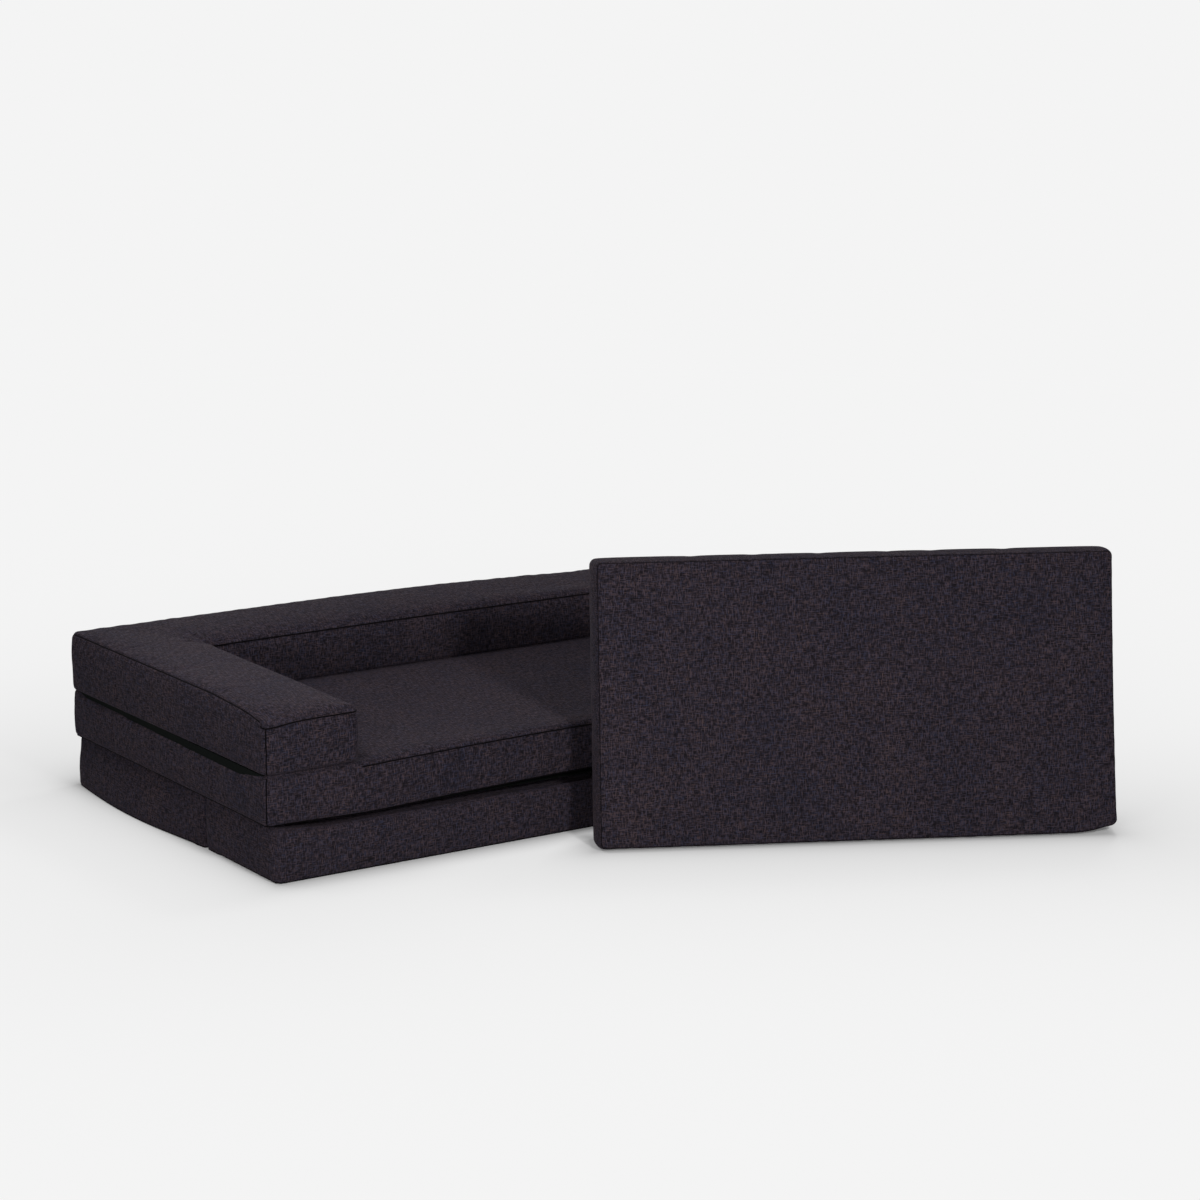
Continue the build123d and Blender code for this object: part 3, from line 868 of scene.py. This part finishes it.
# %% Lay out the slab
SLAB_HALF = 0.815
SLAB_FRONT, SLAB_REAR = -0.4645, 0.4575
SLAB_BOTTOM, SLAB_TOP = 0.1246, 0.2366
ARM_INNER, BACK_FACE = 0.580, 0.2345
SLAB_CORNER, SLAB_FOOT_ROLL = 0.014, 0.011
SEAT_FRONT_ROLL, SLAB_TOP_ROLL = 0.012, 0.008
SEAT_ROLL_REACH, END_ROLL_REACH, ARM_CLEAR = 0.03, 0.02, 0.004
LINING_TALL, LINING_END = 0.021, 0.016
FRONT_CORNERS = {"left": (-SLAB_HALF, SLAB_FRONT), "right": (SLAB_HALF, SLAB_FRONT)}
SLAB_OUTLINE = ([-SLAB_HALF, -ARM_INNER, ARM_INNER, SLAB_HALF], [SLAB_FRONT, BACK_FACE, SLAB_REAR])


def slab_top_roll(flat):
    """A soft roll along the front, and a small one elsewhere."""
    seat_front = (np.abs(flat[:, 0]) < ARM_INNER - ARM_CLEAR) & (flat[:, 1] < SLAB_FRONT + SEAT_ROLL_REACH)
    soft = seat_front | (flat[:, 1] < SLAB_FRONT + END_ROLL_REACH)
    return np.where(soft, SEAT_FRONT_ROLL, SLAB_TOP_ROLL)


slab, place = sewn_block(
    "seat_slab",
    [(-SLAB_HALF, SLAB_FRONT, SLAB_HALF, SLAB_REAR)],
    [SLAB_BOTTOM, SLAB_TOP - LINING_TALL, SLAB_TOP],
    SLAB_OUTLINE,
    constant(SLAB_CORNER),
    constant(SLAB_FOOT_ROLL),
    slab_top_roll,
    SIDE_DRAW,
    0.0,
)
flat, share, columns, rows = (place[key] for key in ("flat", "share", "columns", "rows"))
points = coordinates(slab)

# %% Shape its top and its front
SEAT_CROWN, SEAT_CROWN_RUN, SEAT_CLEAR = 0.005, 0.06, 0.006
FRONT_ARCH, ARCH_CLEAR, FRONT_FADE = 0.010, 0.01, 0.05
FOOT_ARCH, FOOT_ARCH_WIDTH = 0.008, 0.28
FOOT_SAG, FOOT_SAG_PLACE, FOOT_SAG_WIDTH = 0.005, 0.56, 0.14
END_BAND = 0.03
SLAB_FLARE, RAIL_FLARE, FLARE_STARTS = 0.004, 0.009, -0.25


def flare(flat, most):
    """How far the ends lean outwards: more and more towards the rear."""
    return most * part_of((flat[:, 1] - FLARE_STARTS) / (SLAB_REAR - FLARE_STARTS))


width_at, behind_front = np.abs(flat[:, 0]), flat[:, 1] - SLAB_FRONT
in_recess = (width_at < ARM_INNER - SEAT_CLEAR) & (flat[:, 1] < BACK_FACE - SEAT_CLEAR)
free_top = (share > ON_TOP) & in_recess
edge = np.minimum(ARM_INNER - width_at, np.minimum(BACK_FACE - flat[:, 1], behind_front))
crown = SEAT_CROWN * (1 - np.exp(-np.maximum(edge, 0) / SEAT_CROWN_RUN))
points[:, 2] += np.where(free_top, crown, 0)
arch = part_of(1 - (flat[:, 0] / (ARM_INNER - ARCH_CLEAR)) ** 2) * bell(behind_front, FRONT_FADE)
hang = FOOT_ARCH * bell(flat[:, 0], FOOT_ARCH_WIDTH)
hang -= FOOT_SAG * bell(width_at - FOOT_SAG_PLACE, FOOT_SAG_WIDTH)
hang *= bell(behind_front, FRONT_FADE)
points[:, 2] += FRONT_ARCH * arch * share + hang * (1 - share)
points[:, 0] += np.sign(flat[:, 0]) * flare(flat, SLAB_FLARE) * (width_at > SLAB_HALF - END_BAND)
print("front arched by", round(float((FRONT_ARCH * arch).max()) * 1000, 1), "mm")

# %% Let the lining show along the sides
LINING_FRONT_TAPER, LINING_REAR_TAPER = 0.100, 0.045
LINING_SHOWS, LINING_SHOWS_MORE, LINING_RUN = 0.55, 0.32, 0.7
LINING_SET_IN, SIDE_BAND = 0.0045, 0.004

front_taper = (behind_front - LINING_END) / LINING_FRONT_TAPER
rear_taper = (SLAB_REAR - LINING_END - flat[:, 1]) / LINING_REAR_TAPER
lining_depth = LINING_TALL * part_of(np.minimum(front_taper, rear_taper))
lining_depth *= LINING_SHOWS + LINING_SHOWS_MORE * part_of((SLAB_REAR - flat[:, 1]) / LINING_RUN)
at_side = SLAB_HALF - width_at < SIDE_BAND
over_lining = at_side & (flat[:, 2] > SLAB_TOP - lining_depth + TINY)
for column in columns[at_side[columns[:, 0]]]:
    edge_height = SLAB_TOP - lining_depth[column[0]]
    last_below = np.searchsorted(rows, edge_height + TINY) - 1
    points[column[last_below], 2] = edge_height
set_in = np.sign(flat[:, 0]) * (SLAB_HALF - LINING_SET_IN)
points[:, 0] = np.where(over_lining, set_in, points[:, 0])
set_coordinates(slab, points)
print("lining shows by", round(float(lining_depth.max()) * 1000, 1), "mm at most")

# %% Swell the slab and sew its seams
SLAB_BORDER_FREE = (0.08, 0.88)
FRONT_SEAM_BELOW, SEAM_CLEAR = 0.010, 0.002

free_border = (share > SLAB_BORDER_FREE[0]) & (share < SLAB_BORDER_FREE[1])
free_border &= (place["depth"] < ON_EDGE) & ~over_lining
swell(slab, ~(free_top | free_border), *SLAB_SWELL)

seam_row = int(np.argmin(np.abs(rows - (SLAB_TOP - FRONT_SEAM_BELOW))))
foot_points = flat[columns[:, 0]]
between_arms = np.abs(foot_points[:, 0]) < ARM_INNER - SEAM_CLEAR
at_front = np.abs(foot_points[:, 1] - SLAB_FRONT) < ON_EDGE
front_seam = columns[at_front & between_arms, seam_row]
valley(slab, front_seam, TOP_VALLEY)
front_corners = {label: nearest_column(place, spot) for label, spot in FRONT_CORNERS.items()}
for column in front_corners.values():
    valley(slab, column[2:-2])
seam_cord("slab_foot_seam", slab, columns[:, 0], "seat", proud=SLAB_FOOT_STANDS_OUT)
seam_cord("slab_front_seam_line", slab, front_seam, "seat", closed=False, replaced=("slab_front_seam",))
for label, column in front_corners.items():
    seam_cord("slab_" + label + "_corner_seam", slab, column[1:-1], "seat", THIN_CORD, closed=False)
dress(slab, "seat", ("slab_cover", "slab_core"))

# %% [markdown]
# ## Arm and back rail
# The arms and the back are one U-shaped cover over three foam pieces. Its top is one panel. On the
# inner side and at the arms' ends it rolls well over the edge before it meets the border, and on
# the outer sides the seam lies right on the edge. The back has sunk a little along its middle, and
# the arms' outer front corners droop, while the outer edge is fuller along the left side and the
# rear. Where the panel turns the inner corner, its slack gathers in short folds.

# %% Lay out the rail
RAIL_BOTTOM, RAIL_TOP, RAIL_CROWN = 0.2370, 0.3680, 0.006
RAIL_CORNER = 0.020
INNER_ROLL, OUTER_ROLL = 0.019, 0.011
ARM_FOOT_ROLL, RAIL_FOOT_ROLL = 0.012, 0.007
OUTER_STARTS, OUTER_EASE = 0.14, 0.03
ARM_END, ARM_END_EASE = 0.012, 0.02


def outer_side(flat):
    """One along the outer sides and the rear, zero along the inner side and the arms' ends."""
    beside = part_of((np.abs(flat[:, 0]) - ARM_INNER - OUTER_STARTS) / OUTER_EASE)
    behind = part_of((flat[:, 1] - BACK_FACE - OUTER_STARTS) / OUTER_EASE)
    before = part_of((flat[:, 1] - SLAB_FRONT - ARM_END) / ARM_END_EASE)
    return np.maximum(beside, behind) * before


rail, place = sewn_block(
    "arm_and_back_rail",
    [
        (-SLAB_HALF, SLAB_FRONT, -ARM_INNER, SLAB_REAR),
        (-SLAB_HALF, BACK_FACE, SLAB_HALF, SLAB_REAR),
        (ARM_INNER, SLAB_FRONT, SLAB_HALF, SLAB_REAR),
    ],
    [RAIL_BOTTOM, RAIL_TOP - RAIL_CROWN],
    SLAB_OUTLINE,
    constant(RAIL_CORNER),
    lambda flat: np.where(flat[:, 1] < SLAB_FRONT + END_ROLL_REACH, ARM_FOOT_ROLL, RAIL_FOOT_ROLL),
    lambda flat: INNER_ROLL + (OUTER_ROLL - INNER_ROLL) * outer_side(flat),
    SIDE_DRAW,
    RAIL_CROWN,
)
flat, share, columns, rows = (place[key] for key in ("flat", "share", "columns", "rows"))
points = coordinates(rail)

# %% Sag, puff and lean of the rail
BACK_SAG, SAG_CENTRE, SAG_WIDTH, SAG_STARTS, SAG_EASE = 0.016, 0.58, 0.38, 0.02, 0.08
CORNER_DROOP, DROOP_WIDTH = 0.010, 0.06
OUTER_PUFF, PUFF_STARTS, PUFF_EASE, PUFF_ENDS_OVER = 0.009, 0.05, 0.2, 0.4
LEAN_STARTS, LEAN_EASE = 0.1, 0.1

upper = part_of(share * 2 - 1)
on_back = part_of((flat[:, 1] - BACK_FACE + SAG_STARTS) / SAG_EASE)
points[:, 2] -= BACK_SAG * upper * on_back * bell(flat[:, 0] - SAG_CENTRE, SAG_WIDTH)
for side in (-1, 1):
    to_corner = np.hypot(flat[:, 0] - side * SLAB_HALF, flat[:, 1] - SLAB_FRONT)
    points[:, 2] -= CORNER_DROOP * upper * bell(to_corner, DROOP_WIDTH)
along_side = part_of((flat[:, 1] - SLAB_FRONT - PUFF_STARTS) / PUFF_EASE)
beside = part_of((np.abs(flat[:, 0]) - ARM_INNER) / PUFF_EASE)
behind = part_of((flat[:, 1] - BACK_FACE) / PUFF_EASE)
fuller = part_of((SLAB_HALF - flat[:, 0]) / PUFF_ENDS_OVER)
points[:, 2] += OUTER_PUFF * upper * along_side * np.maximum(beside, behind) * fuller
outwards = part_of((np.abs(flat[:, 0]) - ARM_INNER - LEAN_STARTS) / LEAN_EASE)
points[:, 0] += np.sign(flat[:, 0]) * flare(flat, RAIL_FLARE) * outwards
print("rail is", round(float(np.ptp(points[:, 2])), 4), "m tall")

# %% Folds at the inner corners
FOLD_HEIGHT, FOLDS_IN_A_TURN, FOLD_START = 0.0022, 9.0, 0.6
FOLD_RADIUS, FOLD_WIDTH, FOLD_REACH, FOLDS_ABOVE = 0.035, 0.03, -0.06, 0.9

for side in (-1, 1):
    x, y = (flat[:, 0] + side * -ARM_INNER) * side, flat[:, 1] - BACK_FACE
    waves = np.sin(np.arctan2(y, x) * FOLDS_IN_A_TURN + FOLD_START)
    folds = waves * bell(np.hypot(x, y) - FOLD_RADIUS, FOLD_WIDTH)
    points[:, 2] += FOLD_HEIGHT * folds * (share > FOLDS_ABOVE) * (y > FOLD_REACH) * (x > FOLD_REACH)
set_coordinates(rail, points)
print("folds up to", FOLD_HEIGHT * 1000, "mm high")

# %% Swell the rail and sew its seams
FOOT_HELD, INNER_SEAM_BELOW = 0.08, 0.012

swell(rail, place["seam"] | (share <= FOOT_HELD), *RAIL_SWELL)
low_row = int(np.argmin(np.abs(rows - (RAIL_TOP - RAIL_CROWN - INNER_SEAM_BELOW))))
outer = outer_side(flat[columns[:, -1]]) > 0.5
top_seam = np.where(outer, columns[:, -1], columns[:, low_row])
valley(rail, top_seam, TOP_VALLEY)
front_corners = {label: nearest_column(place, spot) for label, spot in FRONT_CORNERS.items()}
for column in front_corners.values():
    valley(rail, column[2:low_row])
seam_cord("rail_top_seam_line", rail, top_seam, "seat", replaced=("rail_top_seam",))
for label, column in front_corners.items():
    seam_cord(label + "_arm_corner_seam", rail, column[1:low_row + 1], "seat", THIN_CORD, closed=False)
dress(rail, "seat", ("rail_cover", "left_arm_core", "right_arm_core", "back_rail_core"))

# %% [markdown]
# ## Loose cushion
# The back cushion stands on its long edge, turned a little and leaning back. It is softer than the
# seat, so its panels swell more, its right end slumps outwards at the foot, and its foot is pressed
# flat on the floor. It is made lying in its own frame and then turned into place, so the swelling
# works along its own panels.

# %% Where the cushion stands
CUSHION_WIDE, CUSHION_HIGH, CUSHION_THICK = 1.156, 0.636, 0.132
CUSHION_LEAN, CUSHION_SINK = math.radians(8.4), 0.014
CUSHION_LEFT, CUSHION_REAR = -0.040, BASE_FRONT - 0.061

across = Vector((math.cos(CUSHION_TURN), -math.sin(CUSHION_TURN), 0))
leans = math.sin(CUSHION_LEAN)
upward = Vector(
    (math.sin(CUSHION_TURN) * leans, math.cos(CUSHION_TURN) * leans, math.cos(CUSHION_LEAN))
)
forward = across.cross(upward)
foot = Vector((CUSHION_LEFT, CUSHION_REAR, -CUSHION_SINK))
cushion_place = Matrix.Translation(foot) @ Matrix((across, upward, forward)).transposed().to_4x4()
print("the cushion leans back by", round(math.degrees(CUSHION_LEAN), 1), "degrees")

# %% Make the cushion
CUSHION_CROWN, CUSHION_ROLL, CUSHION_CORNER, CUSHION_DRAW = 0.006, 0.008, 0.016, 0.005
SLUMP_WIDTH, SLUMP, SLUMP_AT_FOOT = 0.08, 0.003, 0.009
FOOT_LIFT, FOOT_LIFT_WIDTH = 0.016, 0.05

cushion, place = sewn_block(
    "back_cushion",
    [(0, 0, CUSHION_WIDE, CUSHION_HIGH)],
    [CUSHION_CROWN, CUSHION_THICK - CUSHION_CROWN],
    ([0, CUSHION_WIDE], [0, CUSHION_HIGH]),
    constant(CUSHION_CORNER),
    constant(CUSHION_ROLL),
    constant(CUSHION_ROLL),
    CUSHION_DRAW,
    CUSHION_CROWN,
)
flat, share, columns = (place[key] for key in ("flat", "share", "columns"))
points = coordinates(cushion)
rear_crown = CUSHION_CROWN * (1 - np.exp(-place["depth"] / CROWN_RUN))
points[:, 2] -= np.where(share < ON_BOTTOM, rear_crown, 0)
low = part_of(1 - flat[:, 1] / CUSHION_HIGH)
points[:, 0] += bell(flat[:, 0] - CUSHION_WIDE, SLUMP_WIDTH) * (SLUMP + SLUMP_AT_FOOT * low ** 2)
to_foot_corner = np.hypot(flat[:, 0] - CUSHION_WIDE, flat[:, 1])
points[:, 1] += FOOT_LIFT * bell(to_foot_corner, FOOT_LIFT_WIDTH)
set_coordinates(cushion, points)

# %% Swell, sew and stand it up
CUSHION_ZIP = (0.085, 0.551)
JUST_ABOVE_FLOOR = 0.0002

swell(cushion, place["seam"], *CUSHION_SWELL)
for row in (0, -1):
    valley(cushion, columns[:, row])
hold_flat(cushion, CUSHION_WIDE - TAPE_LIFT, CUSHION_THICK / 2, CUSHION_ZIP)
cushion.data.transform(cushion_place)
points = coordinates(cushion)
points[:, 2] = np.maximum(points[:, 2], JUST_ABOVE_FLOOR)
set_coordinates(cushion, points)
for label, row in (("front", -1), ("back", 0)):
    cord_name, solid_name = "cushion_" + label + "_seam", "cushion_" + label + "_piping"
    seam_cord(cord_name, cushion, columns[:, row], "cushion", THICK_CORD, replaced=(solid_name,))
dress(cushion, "cushion", ("cushion_cover", "cushion_core"))

# %% [markdown]
